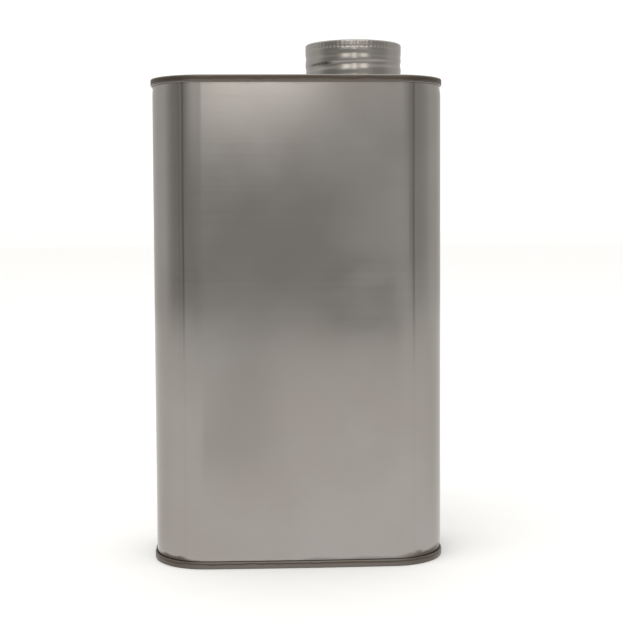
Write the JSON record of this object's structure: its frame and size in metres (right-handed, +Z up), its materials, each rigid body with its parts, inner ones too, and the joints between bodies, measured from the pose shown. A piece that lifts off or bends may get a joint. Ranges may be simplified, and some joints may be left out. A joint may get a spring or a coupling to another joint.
{
  "type": "oblong tinplate can with screw cap",
  "caption": "Oblong bare tinplate can with rounded corners, double-seamed ends and an off-centre threaded neck closed by a knurled screw cap.",
  "frame": {"origin": "centre of the can's foot, on the plane it stands on", "axes": "+Z up, +X along the long side towards the neck, +Y from the front to the back"},
  "size_m": [0.1126, 0.0588, 0.2],
  "materials": {
    "tinplate_body": "bare tinplate, fine horizontal grain, satin to semi-bright",
    "tinplate_ends": "bare tinplate, darkened and rubbed along the double seams",
    "tinplate_neck": "bare tinplate, semi-bright",
    "tinplate_cap": "bare tinplate, semi-bright, knurled shoulder",
    "sealing_compound": "matt dried lining compound",
    "pulp_board": "matt pressed pulp board",
    "liner_foil": "smooth foil facing"
  },
  "bodies": {
    "can": {"body_shell": "tinplate_body", "top_end": "tinplate_ends", "bottom_end": "tinplate_ends", "top_seam_compound": "sealing_compound", "bottom_seam_compound": "sealing_compound", "screw_neck": "tinplate_neck", "neck_gasket": "sealing_compound"},
    "liner": {"cap_liner_board": "pulp_board", "cap_liner_foil": "liner_foil"},
    "cap": {"screw_cap": "tinplate_cap"}
  },
  "joints": [
    {"name": "cap_rise", "type": "slide", "parent": "can", "child": "liner", "axis": [0, 0, 1], "range_m": [0, 0.02]},
    {"name": "cap_turn", "type": "hinge", "parent": "liner", "child": "cap", "pos_m": [0.0227, 0, 0.19], "axis": [0, 0, 1], "range_deg": [0, 1805]}
  ],
  "couplings": [
    {"joint": "cap_turn", "follows": "cap_rise", "rad_per_m": 1570.8}
  ]
}
